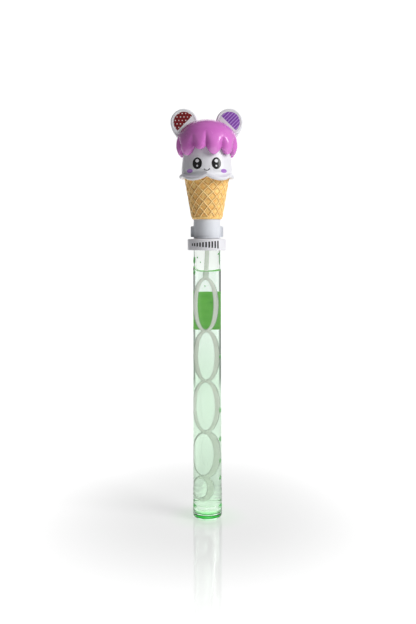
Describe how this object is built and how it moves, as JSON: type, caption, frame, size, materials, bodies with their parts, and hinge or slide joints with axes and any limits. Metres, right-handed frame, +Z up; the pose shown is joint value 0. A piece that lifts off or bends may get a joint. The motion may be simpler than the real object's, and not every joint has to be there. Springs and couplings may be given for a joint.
{
  "type": "bubble wand",
  "caption": "Clear tube of bubble solution with a screw collar; its stopper carries a looped wand below and an ice cream cone figure with round ears on top.",
  "frame": {"origin": "middle of the tube's flat base", "axes": "+Z up along the tube, the figure's face looks along -Y, ears along X"},
  "size_m": [0.065, 0.0536, 0.3669],
  "materials": {
    "clear_tube": "clear, polished, faint green tint",
    "green_label": "printed film, satin",
    "solution": "clear green liquid",
    "soft_white": "soft, matt",
    "white_plastic": "moulded, semi-gloss",
    "grey_plastic": "moulded, semi-gloss",
    "milky_plastic": "milky, slightly translucent",
    "waffle_plastic": "moulded waffle lattice, satin",
    "pink_plastic": "moulded, high gloss",
    "red_print": "dark red print on white",
    "purple_print": "purple print on white"
  },
  "bodies": {
    "tube": {"tube": "clear_tube", "back_label": "green_label", "bubble_solution": "solution"},
    "washer": {"collar_washer": "soft_white"},
    "collar": {"screw_collar": "white_plastic"},
    "seal": {"seal_ring": "soft_white"},
    "stopper": {"stopper": "grey_plastic", "wand_holder": "grey_plastic", "wand": "milky_plastic", "waffle_cone": "waffle_plastic", "ice_cream_head": "white_plastic", "icing": "pink_plastic", "left_ear": "white_plastic", "right_ear": "white_plastic", "left_ear_inlay": "red_print", "right_ear_inlay": "purple_print"}
  },
  "joints": [
    {"name": "collar_rise", "type": "slide", "parent": "tube", "child": "washer", "axis": [0, 0, 1], "range_m": [0, 0.006]},
    {"name": "collar_turn", "type": "hinge", "parent": "washer", "child": "collar", "pos_m": [0, 0, 0.245], "axis": [0, 0, 1], "range_deg": [0, 720]},
    {"name": "wand_lift", "type": "slide", "parent": "collar", "child": "seal", "axis": [0, 0, 1], "range_m": [0, 0.245]},
    {"name": "wand_twist", "type": "hinge", "parent": "seal", "child": "stopper", "pos_m": [0, 0, 0.2446], "axis": [0, 0, 1], "continuous": true, "deforming": ["bubble_solution"]}
  ],
  "couplings": [
    {"joint": "collar_rise", "follows": "collar_turn", "m_per_rad": 0.00047746}
  ]
}
